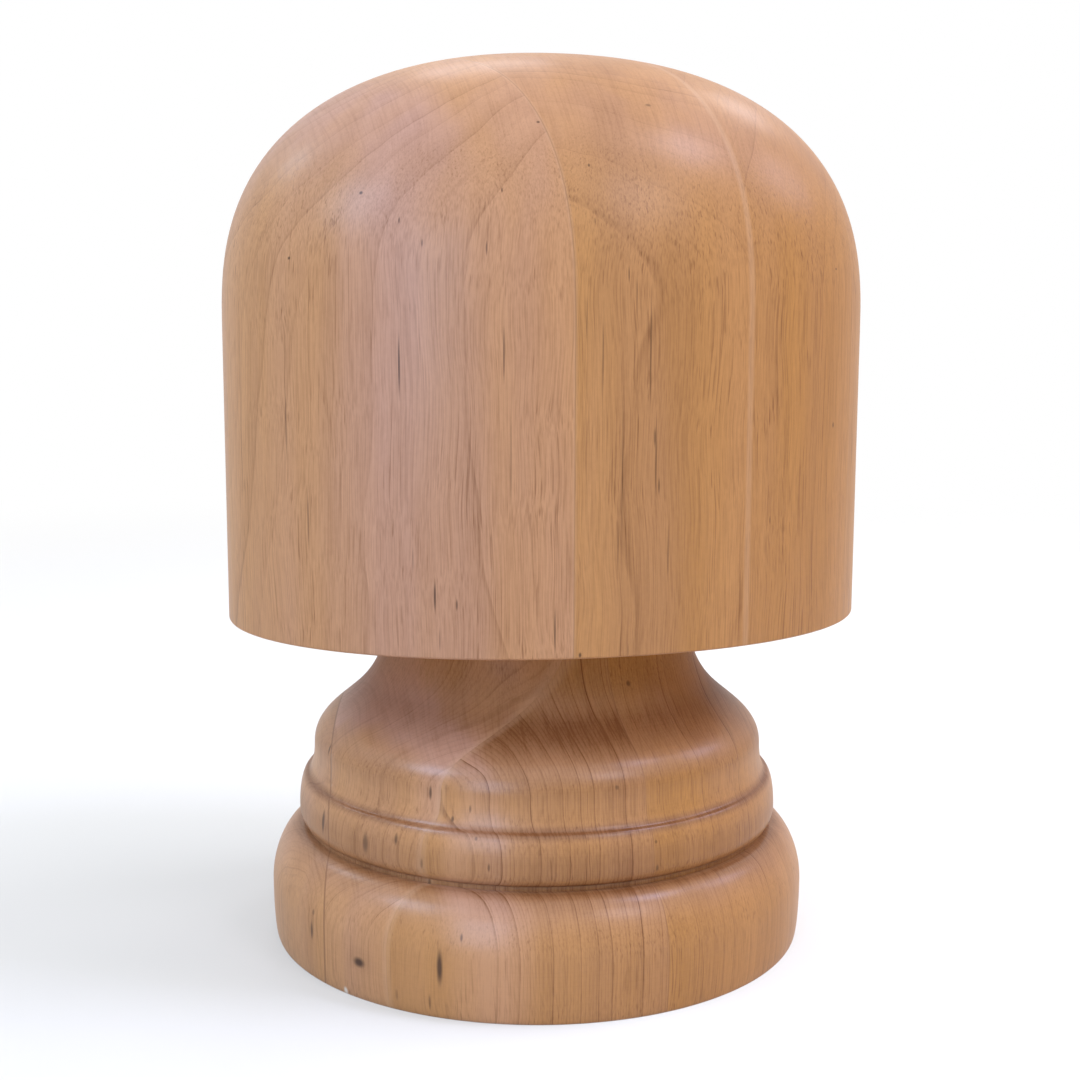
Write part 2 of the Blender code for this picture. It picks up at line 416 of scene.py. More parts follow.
@dataclass(frozen=True)
class WoodFinish:
    """Pale close-grained hardwood under a satin varnish.

    A slope is the share by which the surface faces up, from its start to its end. The core of a band or dark
    hoop is the part of its half width that shows in full.
    """

    light: Colour = (0.625, 0.330, 0.165)
    # The blush's grey-blue is wood tone in the random rosy patches. Where the bands use it, it is painted
    # reflection of the cool windows.
    blush: Colour = (0.572, 0.325, 0.236)
    honey: Colour = (0.560, 0.262, 0.054)
    dark: Colour = (0.20, 0.075, 0.025)
    stain: Colour = (0.055, 0.022, 0.012)
    pale: Colour = (0.68, 0.42, 0.25)
    chip: Colour = (0.85, 0.78, 0.68)
    roughness: float = 0.45
    specular: float = 0.05
    coat: float = 0.24
    coat_roughness: float = 0.30
    coat_ior: float = 1.8
    ior: float = 1.45
    polished_to: float = 1.0
    grain_relief: float = 0.10
    relief_reach: float = 0.0002
    fine_relief: float = 0.5
    streak_relief: float = 0.4
    pore_relief: float = 0.8
    streak_dullness: float = 0.05
    pore_dullness: float = 0.08
    thinning: float = 0.016
    thin_coat: float = 0.15
    hoop_core: float = 0.1
    rosy: Fleck = Fleck((58.0, 58.0, 4.0), 0.36, 0.64, 2.0, 0.30, 0.5)
    sunny: Fleck = Fleck((34.0, 34.0, 3.0), 0.38, 0.64, 2.0, 0.20, 0.5)
    warmest: float = 0.78
    band_edge: Waver = Waver((40.0, 40.0, 9.0), 0.016)
    band_core: float = 0.25
    bend: Waver = Waver((28.0, 28.0, 24.0), 0.0050)
    rings: RingLook = RingLook()
    streaks: Fleck = Fleck((640.0, 640.0, 8.5), 0.40, 0.72, 3.0, 0.04)
    hairs: Fleck = Fleck((1700.0, 1700.0, 26.0), 0.50, 0.70, 2.0, 0.16)
    fine: Fleck = Fleck((2900.0, 2900.0, 50.0), 0.35, 0.75, weight=0.22)
    threads: Fleck = Fleck((1700.0, 1700.0, 17.0), 0.60, 0.69, weight=0.32)
    thread_patches: Fleck = Fleck((75.0, 75.0, 10.0), 0.36, 0.60)
    pores: Fleck = Fleck((1500.0, 1500.0, 40.0), 0.655, 0.74)
    pore_patches: Fleck = Fleck((45.0, 45.0, 14.0), 0.42, 0.62)
    lines: Fleck = Fleck((900.0, 900.0, 14.0), 0.70, 0.76, weight=0.24)
    strokes: Fleck = Fleck((1500.0, 50.0, 50.0), 0.42, 0.72, 2.0, 0.13)
    tides: Fleck = Fleck((95.0, 95.0, 5.0), 0.35, 0.70, weight=0.09)
    mottle: Fleck = Fleck((900.0, 900.0, 500.0), 0.30, 0.70, weight=0.05)
    slope: Step = (0.20, 0.66)
    slope_fibres: float = 0.72
    # Painted shade on faces that look up.
    painted_top_shade: float = 0.05
    # Painted sheen on faces that look up: less honey, pinker.
    painted_top_sheen: float = 0.58
    end_slope: Step = (0.50, 0.84)
    flat_top: Step = (0.999, 0.97)
    # Heights over which that darkening grows to full, just under the crown: painted shade.
    under_crown_heights: Step = (0.068, 0.082)
    end_lowest: float = 0.2
    lathe_rate: float = 1700.0
    lathe_lines: Step = (0.45, 0.75)

    def material(self, name: str, timber: Timber, marks: tuple[Mark, ...] = (),
                 seams: tuple[Seam, ...] = (), lathe: float = 0.0,
                 stain_and_shade_hoops: tuple[StainAndShadeHoop, ...] = ()) -> bpy.types.Material:
        """Makes the finish of one board."""
        made = bpy.data.materials.new(name)
        sheet = PieceSheet(made)
        grain = self.grain(sheet, timber)
        shade = grain.shade
        if lathe:
            path = sheet.from_axis() - sheet.level
            shade = shade + sheet.ripple(path * self.lathe_rate).fade(*self.lathe_lines) * lathe
        for band in timber.bands:
            if band.shade:
                shade = shade + self.band(sheet, band) * band.shade
        # Darken the wood round set heights: stain and painted shade.
        for hoop in stain_and_shade_hoops:
            away = (sheet.level - hoop.height).size()
            shade = shade + away.fade(hoop.reach, self.hoop_core * hoop.reach) * hoop.strength
        colour = sheet.blend(self.tone(sheet, timber), self.dark, shade.held())
        for seam in seams:
            colour = self.glue_line(sheet, colour, seam)
        self.varnish(sheet, self.spots(sheet, colour, marks), grain)
        return made

    def tone(self, sheet: PieceSheet, timber: Timber) -> Signal:
        """The wood's colour between its fibres, in broad upright bands, some of them painted sheen, and
        pinker where it faces up, which is painted sheen.
        """
        shift = timber.shift(3.1, 1.7, 5.3)
        rose = self.rosy.drawn(sheet, sheet.point, shift) * self.rosy.weight
        sun = self.sunny.drawn(sheet, sheet.point, shift[::-1]) * self.sunny.weight
        for band in timber.bands:
            rose = rose + self.band(sheet, band) * band.rose
        colour = sheet.blend(self.light, self.blush, rose)
        slope = sheet.upward.fade(*self.slope)
        # Painted sheen: faces that look up take less honey and look pinker.
        return sheet.blend(colour, self.honey,
                           (sun + self.warmest * timber.warmth) * (1.0 - slope * self.painted_top_sheen))

    def band(self, sheet: PieceSheet, band: Band) -> Signal:
        """How much of a soft band shows at the point, with a wavy edge."""
        across = sheet.along(sheet.point, (math.cos(BAND_ANGLE), math.sin(BAND_ANGLE), 0.0)) - band.place
        away = (across + self.band_edge.drawn(sheet)).size()
        return away.fade(band.reach, self.band_core * band.reach)

    def grain(self, sheet: PieceSheet, timber: Timber) -> Grain:
        """The growth rings, upright fibres and pores of one board, with painted shade on faces that look up.
        """
        shift = timber.shift(7.0, 4.0, 9.0)
        moved = sheet.stretched(sheet.point, self.bend.rates, shift)
        bent = sheet.stretched(sheet.noise(moved, detail=1.0, output="Color"),
                               (self.bend.reach, self.bend.reach, 0.0), sheet.point)
        sloping = sheet.upward.fade(*self.slope)
        rings = self.rings.drawn(sheet, timber)
        streaks, fine, pores, pore_patches, threads, thread_patches, strokes = (
            kind.drawn(sheet, bent, shift) for kind in (
                self.streaks, self.fine, self.pores, self.pore_patches, self.threads, self.thread_patches,
                self.strokes))
        pores = pores * pore_patches
        fibres = (streaks * self.streaks.weight + fine * self.fine.weight + pores * timber.dashes
                  + threads * thread_patches * self.threads.weight)
        for kind in (self.hairs, self.lines):
            fibres = fibres + kind.drawn(sheet, bent, shift) * kind.weight
        # Faces that look up get painted shade as well as the strokes of their cut fibres.
        shade = (rings + fibres * (1.0 - sloping * self.slope_fibres) * timber.fibres
                 + (strokes * self.strokes.weight + self.painted_top_shade) * sloping + timber.shade)
        for kind in (self.tides, self.mottle):
            shade = shade + kind.drawn(sheet, bent, shift) * kind.weight
        # Painted shade and end grain: faces that look up go darker, in full on the neck under the crown.
        if timber.end_grain_and_shade:
            above = sheet.level.fade(*self.under_crown_heights) * (1.0 - self.end_lowest) + self.end_lowest
            domed = sheet.upward.fade(*self.end_slope) * sheet.upward.fade(*self.flat_top)
            shade = shade + domed * above * timber.end_grain_and_shade
        return Grain(shade, streaks, pores, fine)

    def glue_line(self, sheet: PieceSheet, colour: Signal, seam: Seam) -> Signal:
        """Adds a glue line's pale rim and thin dark line to a colour."""
        away = (sheet.along(sheet.point, seam.normal()) - seam.offset()).size()
        rim = away.fade(seam.pale_width, seam.pale_core * seam.pale_width) * seam.pale
        line = away.fade(seam.dark_width, seam.dark_core * seam.dark_width) * seam.dark
        return sheet.blend(sheet.blend(colour, self.pale, rim), self.dark, line)

    def spots(self, sheet: PieceSheet, colour: Signal, marks: tuple[Mark, ...]) -> Signal:
        """Adds the flecks, knots and chips of a board to a colour."""
        for mark in marks:
            squeeze = (1.0, 1.0, 1.0 / mark.stretch)
            middle = tuple(a * b for a, b in zip(mark.place, squeeze))
            away = sheet.node("ShaderNodeVectorMath", {"operation": "DISTANCE"},
                              {0: sheet.stretched(sheet.point, squeeze), 1: middle}, "Value")
            spot = away.fade(mark.rim * mark.radius, mark.core * mark.radius) * abs(mark.depth)
            colour = sheet.blend(colour, self.stain if mark.depth > 0 else self.chip, spot)
        return colour

    def varnish(self, sheet: PieceSheet, colour: Signal, grain: Grain) -> None:
        """Adds the satin shader over the wood's colour, with a thin coat above the polished part."""
        relief = (grain.fine * self.fine_relief + grain.streaks * self.streak_relief
                  + grain.pores * self.pore_relief)
        bump = sheet.node("ShaderNodeBump", {"invert": True}, {
            "Strength": self.grain_relief, "Distance": self.relief_reach, "Height": relief})
        dullness = (grain.streaks * self.streak_dullness + grain.pores * self.pore_dullness
                    + self.roughness)
        polish = sheet.level.fade(self.polished_to + self.thinning, self.polished_to)
        thickness = polish * (1.0 - self.thin_coat) + self.thin_coat
        shader = sheet.node("ShaderNodeBsdfPrincipled", inputs={
            "Base Color": colour, "Roughness": dullness, "Normal": bump, "IOR": self.ior,
            "Specular IOR Level": self.specular, "Coat Weight": thickness * self.coat,
            "Coat Roughness": self.coat_roughness, "Coat IOR": self.coat_ior})
        sheet.node("ShaderNodeOutputMaterial", inputs={"Surface": shader})


def pick(item: bpy.types.Object) -> None:
    """Selects one object alone and makes it the active one."""
    bpy.ops.object.select_all(action="DESELECT")
    item.select_set(True)
    bpy.context.view_layer.objects.active = item


def smooth(item: bpy.types.Object) -> None:
    """Shades a piece smooth, with its sharp edges kept."""
    pick(item)
    bpy.ops.object.shade_smooth_by_angle(angle=SHARP_ANGLE)


class Workpiece:
    """A piece in the making, raised ring by ring and then cut."""

    def __init__(self, name: str, radius: float, height: float, sides: int, middle: float = 0.0) -> None:
        """Lays the lowest ring."""
        bpy.ops.object.select_all(action="DESELECT")
        bpy.ops.mesh.primitive_circle_add(vertices=sides, radius=radius, fill_type="NOTHING",
                                          location=(middle, 0.0, height))
        self.item = bpy.context.object
        self.item.name = self.item.data.name = name
        bpy.ops.object.transform_apply(location=True, rotation=True, scale=True)
        self.middle, self.level = middle, height

    def edit(self) -> None:
        """Opens the mesh with all of it selected."""
        pick(self.item)
        bpy.ops.object.mode_set(mode="EDIT")
        bpy.ops.mesh.select_mode(type="EDGE")
        bpy.ops.mesh.select_all(action="SELECT")

    def leave(self) -> None:
        """Closes the mesh again."""
        bpy.ops.object.mode_set(mode="OBJECT")

    def squeeze(self, along_x: float, along_y: float) -> None:
        """Scales what is selected about the piece's centre line."""
        bpy.ops.transform.resize(value=(along_x, along_y, 1.0),
                                 center_override=(self.middle, 0.0, self.level))

    def select_edges(self, wanted: Callable[[bmesh.types.BMEdge], bool]) -> None:
        """Selects the edges that pass a test, and nothing else."""
        bpy.ops.mesh.select_all(action="DESELECT")
        shape = bmesh.from_edit_mesh(self.item.data)
        for edge in shape.edges:
            edge.select = wanted(edge)
        shape.select_flush_mode()
        bmesh.update_edit_mesh(self.item.data)

    def lift(self, height: float) -> None:
        """Extrudes what is selected straight up."""
        rise = (0.0, 0.0, height - self.level)
        bpy.ops.mesh.extrude_region_move(TRANSFORM_OT_translate={"value": rise})
        self.level = height

    def grow(self, height: float, along_x: float, along_y: float) -> None:
        """Extrudes the upper ring to a height and scales the new one."""
        self.lift(height)
        self.squeeze(along_x, along_y)

    def close(self, peak: Optional[float] = None) -> None:
        """Closes both ends and turns all faces outwards."""
        if peak is None:
            bpy.ops.mesh.edge_face_add()
        else:
            self.lift(peak)
            bpy.ops.mesh.merge(type="CENTER")
        self.select_edges(lambda edge: edge.is_boundary)
        bpy.ops.mesh.edge_face_add()
        bpy.ops.mesh.select_all(action="SELECT")
        bpy.ops.mesh.normals_make_consistent(inside=False)

    def drill(self, cutter: bpy.types.Object) -> None:
        """Takes a cutter's shape out of the piece and removes the cutter."""
        pick(self.item)
        bore = self.item.modifiers.new("bore", "BOOLEAN")
        bore.operation, bore.solver, bore.object = "DIFFERENCE", "EXACT", cutter
        bpy.ops.object.modifier_apply(modifier=bore.name)
        bpy.data.objects.remove(cutter, do_unlink=True)

    def board(self, name: str, edges: Edges) -> bpy.types.Object:
        """Copies the piece and saws the copy along glue lines."""
        whole = self.item
        pick(whole)
        bpy.ops.object.duplicate()
        self.item = bpy.context.object
        self.item.name = self.item.data.name = name
        self.edit()
        for seam, side in edges:
            bpy.ops.mesh.select_all(action="SELECT")
            normal = Vector(seam.normal())
            bpy.ops.mesh.bisect(plane_co=normal * seam.offset(), plane_no=normal, use_fill=True,
                                clear_inner=side is Cut.RIGHT, clear_outer=side is Cut.LEFT)
        self.leave()
        made, self.item = self.item, whole
        smooth(made)
        return made


def turned(name: str, profile: Profile, sides: int) -> Workpiece:
    """Turns a solid from its outline."""
    work = Workpiece(name, profile[0][0], profile[0][1], sides)
    work.edit()
    for (before, _), (radius, height) in zip(profile, profile[1:]):
        work.grow(height, radius / before, radius / before)
    work.close()
    work.leave()
    return work


def bore_cutter(name: str, radius: float, floor: float, mouth: float, flare: float) -> bpy.types.Object:
    """The shape that a drill and countersink take out."""
    outward = math.copysign(1.0, mouth - floor)
    profile = [(radius, floor), (radius, mouth - outward * flare),
               (radius + 2 * flare, mouth + outward * flare)]
    return turned(name, profile if outward > 0 else profile[::-1], BORE_SIDES).item


def quarter(start: Point, end: Point, upright_first: bool, fullness: float = 2.0,
            steps: int = 14) -> Profile:
    """A quarter oval between two points of an outline, without the first."""
    points = []
    for i in range(1, steps + 1):
        angle = 0.5 * math.pi * i / steps
        rise = math.sin(angle) ** (2.0 / fullness)
        fall = 1.0 - max(math.cos(angle), 0.0) ** (2.0 / fullness)
        across, along = (fall, rise) if upright_first else (rise, fall)
        points.append((start[0] + (end[0] - start[0]) * across, start[1] + (end[1] - start[1]) * along))
    return points


def swept(start: Point, end: Point, first_pull: float, last_pull: float, steps: int = 36) -> Profile:
    """An S-shaped curve that is upright at both ends, without its first point."""
    points = []
    for i in range(1, steps + 1):
        t = i / steps
        weights = ((1 - t) ** 3, 3 * (1 - t) ** 2 * t, 3 * (1 - t) * t ** 2, t ** 3)
        radii = (start[0], start[0], end[0], end[0])
        heights = (start[1], start[1] + first_pull, end[1] - last_pull, end[1])
        points.append((sum(w * r for w, r in zip(weights, radii)),
                       sum(w * z for w, z in zip(weights, heights))))
    return points


def seat(item: bpy.types.Object, material: bpy.types.Material, body: Body) -> None:
    """Gives a piece its finish and puts it in its node's place."""
    item.data.materials.clear()
    item.data.materials.append(material)
    node = item.name.removesuffix("_wood")
    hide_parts(node)
    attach(item, body.value)
    LOG.info("%s: %d faces, on %s", item.name, len(item.data.polygons), body.value)


def holds(edges: Edges, mark: Mark) -> bool:
    """Whether a mark lies in the board between these glue lines, or just beside it."""
    return all((Vector(mark.place).dot(Vector(seam.normal())) - seam.offset()) * side.value > -MARK_MARGIN
               for seam, side in edges)


def saw(owner: Union["Crown", "Base"], work: Workpiece, body: Body, lathe: float = 0.0,
        stain_and_shade_hoops: tuple[StainAndShadeHoop, ...] = ()) -> None:
    """Saws a whole solid into its boards and finishes each of them."""
    marks = [owner.on_surface(mark) for mark in owner.marks()]
    for number, (timber, edges) in enumerate(zip(owner.timbers(), owner.boards()), start=1):
        board = work.board(f"{body.value}_board_{number}_wood", edges)
        near = tuple(mark for mark in marks if holds(edges, mark))
        seams = tuple(seam for seam, _ in edges)
        seat(board, owner.finish.material(board.name, timber, near, seams, lathe, stain_and_shade_hoops), body)
    bpy.data.objects.remove(work.item, do_unlink=True)


@dataclass
class Crown:
    """The oval domed crown, glued up from four upright boards.

    Its wall and the rise of its dome are heights above its level, and its middle is its place along
    X. Fullness is the power of its oval, and shoulder and top are the powers of its dome's curve.
    """

    length: float = 0.203
    width: float = 0.163
    fullness: float = 2.05
    wall: float = 0.0918
    rise: float = 0.0814
    shoulder: float = 2.50
    top: float = 2.37
    edge: float = 0.0008
    edge_steps: int = 5
    level: float = 0.1043
    middle: float = 0.0026
    sides: int = 256
    dome_steps: int = 48
    highest_mark: float = 0.999
    stack_angle: float = BAND_ANGLE
    seam_places: tuple[float, float, float] = (-0.0405, 0.0110, 0.0625)
    bore: float = 0.0098
    bore_depth: float = 0.043
    flare: float = 0.0015
    finish: WoodFinish = WoodFinish()

    def seams(self) -> list[Seam]:
        """The upright glue lines, which are parallel."""
        left, middle, right = self.seam_places
        return [Seam(left, self.stack_angle, self.middle, pale=0.22, pale_width=0.0008, dark=0.30),
                Seam(middle, self.stack_angle, self.middle, pale=0.30, pale_width=0.0016, dark=0.05),
                Seam(right, self.stack_angle, self.middle, pale=0.12, dark=0.05)]

    def boards(self) -> tuple[Edges, ...]:
        """The glue lines at which each board ends, with the side that is kept."""
        left, middle, right = self.seams()
        return (((left, Cut.LEFT),),
                ((left, Cut.RIGHT), (middle, Cut.LEFT)),
                ((middle, Cut.RIGHT), (right, Cut.LEFT)),
                ((right, Cut.RIGHT),))

    def timbers(self) -> tuple[Timber, ...]:
        """How each board was sawn from its log."""
        # The first band is pink-grey wood tone and painted reflection of the front window's cool sheen. The
        # second is darker wood.
        bands = (Band(-0.0710, 0.021, rose=0.70), Band(-0.018, 0.018, shade=0.09))
        return (Timber((-0.0242, 0.0101), (-0.087, 0.023), ring=0.0050, ring_strength=0.12, late_wood=0.14,
                       seed=1.3, warmth=0.09, shade=-0.005, bands=bands),
                Timber((0.0257, 0.0610), (-0.02, 0.0), ring=0.0056, ring_strength=0.17, late_wood=0.11,
                       seed=4.7, warmth=0.60, shade=0.02, bands=bands),
                Timber((-0.0610, -0.0038), ring=0.0042, ring_strength=0.17, late_wood=0.09, seed=8.1,
                       warmth=0.72, shade=0.07),
                Timber((-0.0300, 0.0700), ring=0.0050, ring_strength=0.17, late_wood=0.09, seed=6.1,
                       warmth=0.66, shade=0.06))

    def marks(self) -> tuple[Mark, ...]:
        """The flecks that show in the crown."""
        return tuple(Mark(*fleck) for fleck in (
            ((-0.0647, -0.0560, 0.2311), 0.00052, 0.9, 0.85),
            ((-0.0831, -0.0433, 0.2139), 0.00048, 0.9, 0.85),
            ((-0.0176, -0.0656, 0.2503), 0.00046, 0.8, 0.80),
            ((-0.0057, -0.0740, 0.2384), 0.00030, 1.9, 0.75),
            ((0.0152, -0.0613, 0.2565), 0.00085, 0.5, 0.50),
            ((0.0762, -0.0571, 0.1663), 0.00051, 1.6, 0.60),
            ((0.0761, -0.0563, 0.2123), 0.00042, 0.8, 0.80),
            ((-0.0558, -0.0645, 0.2235), 0.00022, 6.5, 0.75),
            ((-0.0504, -0.0687, 0.2174), 0.00026, 4.3, 0.55),
            ((-0.0566, -0.0669, 0.1850), 0.00027, 27.0, 0.80),
            ((-0.0341, -0.0749, 0.2161), 0.00024, 26.0, 0.65),
            ((-0.0295, -0.0730, 0.2314), 0.00022, 6.5, 0.70),
            ((-0.0300, -0.0774, 0.1881), 0.00025, 26.0, 0.65),
            ((-0.0053, -0.0789, 0.2234), 0.00018, 34.1, 0.45),
            ((0.0037, -0.0811, 0.2094), 0.00020, 12.7, 0.60),
            ((-0.0480, -0.0712, 0.1220), 0.00034, 11.0, 0.80),
            ((-0.0424, -0.0736, 0.1197), 0.00026, 5.6, 0.70),
            ((-0.0847, -0.0426, 0.1679), 0.00025, 34.0, 0.55),
            ((-0.0797, -0.0488, 0.1418), 0.00024, 30.0, 0.55),
            ((-0.0282, -0.0779, 0.1599), 0.00022, 51.6, 0.35),
            ((-0.0163, -0.0802, 0.1122), 0.00022, 25.9, 0.65),
            ((0.0116, -0.0812, 0.1654), 0.00026, 9.6, 0.60),
            ((0.0130, -0.0811, 0.1519), 0.00026, 7.8, 0.60),
            ((0.0012, -0.0814, 0.1351), 0.00018, 43.4, 0.35),
            ((0.0044, -0.0814, 0.1061), 0.00021, 8.5, 0.40),
            ((-0.0093, -0.0809, 0.1055), 0.00037, 1.9, 0.85),
            ((0.0498, -0.0727, 0.1403), 0.00027, 4.0, 0.50),
            ((-0.0536, -0.0686, 0.1319), 0.00018, 18.6, 0.40),
            ((0.0101, -0.0812, 0.1900), 0.00023, 62.0, 0.50),
            ((0.0120, -0.0811, 0.1600), 0.00023, 48.0, 0.50),
            ((-0.0035, -0.0813, 0.1870), 0.00022, 42.0, 0.45),
            ((0.0022, -0.0814, 0.1560), 0.00018, 140.0, 0.30),
            ((0.0160, -0.0808, 0.1330), 0.00023, 28.0, 0.45),
            ((0.0060, -0.0813, 0.2050), 0.00020, 34.0, 0.40),
            ((-0.0080, -0.0811, 0.1980), 0.00020, 30.0, 0.35),
            ((-0.0468, -0.0717, 0.1098), 0.00024, 12.1, 0.40)))

    def on_surface(self, mark: Mark) -> Mark:
        """Moves a mark straight out from the crown's centre line onto its surface."""
        x, y, z = mark.place
        half_x, half_y = 0.5 * self.length, 0.5 * self.width
        reach = (abs((x - self.middle) / half_x) ** self.fullness
                 + abs(y / half_y) ** self.fullness) ** (1.0 / self.fullness)
        climb = min(max((z - self.level - self.wall) / self.rise, 0.0), self.highest_mark)
        share = (1.0 - climb ** self.shoulder) ** (1.0 / self.top) / reach
        return replace(mark, place=(self.middle + (x - self.middle) * share, y * share, z))

    def shape(self) -> Workpiece:
        """Raises the whole crown, before it is sawn into boards."""
        half_x, half_y = 0.5 * self.length, 0.5 * self.width
        work = Workpiece("crown_shape", 1.0, self.level, self.sides, self.middle)
        for vertex in work.item.data.vertices:
            across, inward = vertex.co.x - self.middle, vertex.co.y
            power = 2.0 / self.fullness
            vertex.co.x = self.middle + (half_x - self.edge) * math.copysign(abs(across) ** power, across)
            vertex.co.y = (half_y - self.edge) * math.copysign(abs(inward) ** power, inward)
        work.edit()
        before = (half_x - self.edge, half_y - self.edge)
        for i in range(1, self.edge_steps + 1):
            angle = 0.5 * math.pi * i / self.edge_steps
            inset = self.edge * (1.0 - math.sin(angle))
            now = (half_x - inset, half_y - inset)
            height = self.level + self.edge * (1.0 - math.cos(angle))
            work.grow(height, now[0] / before[0], now[1] / before[1])
            before = now
        share = 1.0
        for i in range(self.dome_steps):
            angle = 0.5 * math.pi * i / self.dome_steps
            now_share = math.cos(angle) ** (2.0 / self.top)
            height = self.level + self.wall + self.rise * math.sin(angle) ** (2.0 / self.shoulder)
            work.grow(height, now_share / share, now_share / share)
            share = now_share
        work.close(self.level + self.wall + self.rise)
        work.leave()
        return work

    def build(self) -> None:
        """Builds, saws and finishes the crown's boards."""
        work = self.shape()
        floor = self.level + self.bore_depth
        work.drill(bore_cutter("crown_bore", self.bore, floor, self.level, self.flare))
        saw(self, work, Body.CROWN)


@dataclass
class Base:
    """The turned base, glued up from five upright boards.

    Each point of its outline is a radius and a height. A roll is told by its widest point, and the
    neck is drawn straight up and straight down at the ends of its curve by its two pulls.
    """

    height: float = 0.104
    foot: float = 0.0855
    lower_roll: Point = (0.0868, 0.0176)
    lower_roll_top: Point = (0.0765, 0.0355)
    lower_roll_fullness: float = 1.85
    lower_roll_steps: int = 20
    fillet: tuple[Point, ...] = ((0.0755, 0.0355), (0.0755, 0.0368), (0.0752, 0.0368))
    middle_roll: Point = (0.0778, 0.0415)
    middle_roll_top: Point = (0.0752, 0.0523)
    upper_roll: Point = (0.0728, 0.0617)
    neck: float = 0.0492
    neck_pulls: tuple[float, float] = (0.0146, 0.0297)
    sides: int = 256
    stack_angle: float = math.radians(12.5)
    left_angle: float = math.radians(-14.0)
    seam_places: tuple[float, float, float, float] = (-0.0640, 0.0470, -0.0022, 0.0598)
    bore: float = 0.0098
    bore_floor: float = 0.0587
    flare: float = 0.0015
    lathe: float = 0.03
    # Dark hoops: 0.0362 and 0.0523 are stain and painted crease shade in the quirks. 0.0420 is painted shade
    # on the middle roll's underside. 0.0335 darkens the lower roll's shoulder. 0.0650 is painted shade on
    # the upper roll's shoulder. 0.1010 is painted shade on the neck under the crown.
    stain_and_shade_hoops: tuple[StainAndShadeHoop, ...] = (StainAndShadeHoop(0.0362, 0.0026, 0.26), StainAndShadeHoop(0.0523, 0.0024, 0.38),
                                   StainAndShadeHoop(0.0420, 0.0095, 0.26), StainAndShadeHoop(0.0335, 0.0055, 0.10),
                                   StainAndShadeHoop(0.0650, 0.0060, 0.17), StainAndShadeHoop(0.1010, 0.0340, 0.19))
    finish: WoodFinish = WoodFinish(coat=0.33, coat_roughness=0.28, polished_to=0.070)

    def outline(self) -> Profile:
        """The turned outline, from the foot to the top of the neck."""
        profile = [(self.foot, 0.0)]
        profile += quarter(profile[-1], self.lower_roll, upright_first=False)
        profile += quarter(profile[-1], self.lower_roll_top, upright_first=True,
                           fullness=self.lower_roll_fullness, steps=self.lower_roll_steps)
        profile += self.fillet
        profile += quarter(profile[-1], self.middle_roll, upright_first=False)
        profile += quarter(profile[-1], self.middle_roll_top, upright_first=True)
        profile += quarter(profile[-1], self.upper_roll, upright_first=False)
        profile += swept(profile[-1], (self.neck, self.height), *self.neck_pulls)
        return profile

    def seams(self) -> list[Seam]:
        """The upright glue lines, of which the front one is square to the two on its right."""
        left, front, middle, right = self.seam_places
        return [Seam(left, self.left_angle, pale=0.10, dark=0.60, dark_width=0.00042),
                Seam(front, self.stack_angle - 0.5 * math.pi, pale=0.20, pale_width=0.0019, dark=0.05),
                Seam(middle, self.stack_angle, pale=0.05, pale_width=0.0008, dark=0.40),
                Seam(right, self.stack_angle, pale=0.10, dark=0.10)]

    def boards(self) -> tuple[Edges, ...]:
        """The glue lines at which each board ends, with the side that is kept."""
        left, front, middle, right = self.seams()
        return (((left, Cut.LEFT),),
                ((left, Cut.RIGHT), (front, Cut.LEFT), (middle, Cut.LEFT)),
                ((front, Cut.RIGHT), (middle, Cut.LEFT)),
                ((middle, Cut.RIGHT), (right, Cut.LEFT)),
                ((right, Cut.RIGHT),))

    def timbers(self) -> tuple[Timber, ...]:
        """How each board was sawn from its log."""
        # Painted sheen of the left window on the rolls, over slightly lighter wood: a lighter, bluer band.
        light = (Band(-0.0570, 0.0140, rose=1.0, shade=-0.22),)
        return (Timber((-0.1500, -0.0300), ring=0.0048, ring_strength=0.19, fine_rings=0.07, fibres=0.65,
                       seed=2.9, warmth=0.18, shade=0.10, end_grain_and_shade=0.35),
                Timber((-0.0100, 0.0900), ring=0.0046, ring_strength=0.26, fine_rings=0.08, fibres=0.65,
                       seed=3.7, warmth=0.18, shade=0.08, dashes=0.18, end_grain_and_shade=0.33, bands=light),
                Timber((-0.0816, -0.0920), ring=0.0046, ring_strength=0.70, late_wood=0.20, fine_rings=0.14,
                       wobble=0.006, fibres=0.60, seed=5.3, warmth=0.60, shade=0.15, dashes=0.14,
                       # Painted sheen of the left window over lighter wood, as in board 2's band.
                       end_grain_and_shade=0.70, clear=0.0465, bands=(Band(-0.0585, 0.0120, rose=1.0, shade=-0.25),)),
                Timber((0.1160, -0.0310), ring=0.0040, ring_strength=0.36, late_wood=0.12, fine_rings=0.10,
                       fibres=0.65, seed=7.7, warmth=0.78, shade=0.13, dashes=0.14, end_grain_and_shade=0.52),
                Timber((0.0300, 0.0900), ring=0.0046, ring_strength=0.26, fibres=0.65, seed=9.1, warmth=0.66,
                       shade=0.08, end_grain_and_shade=0.35))

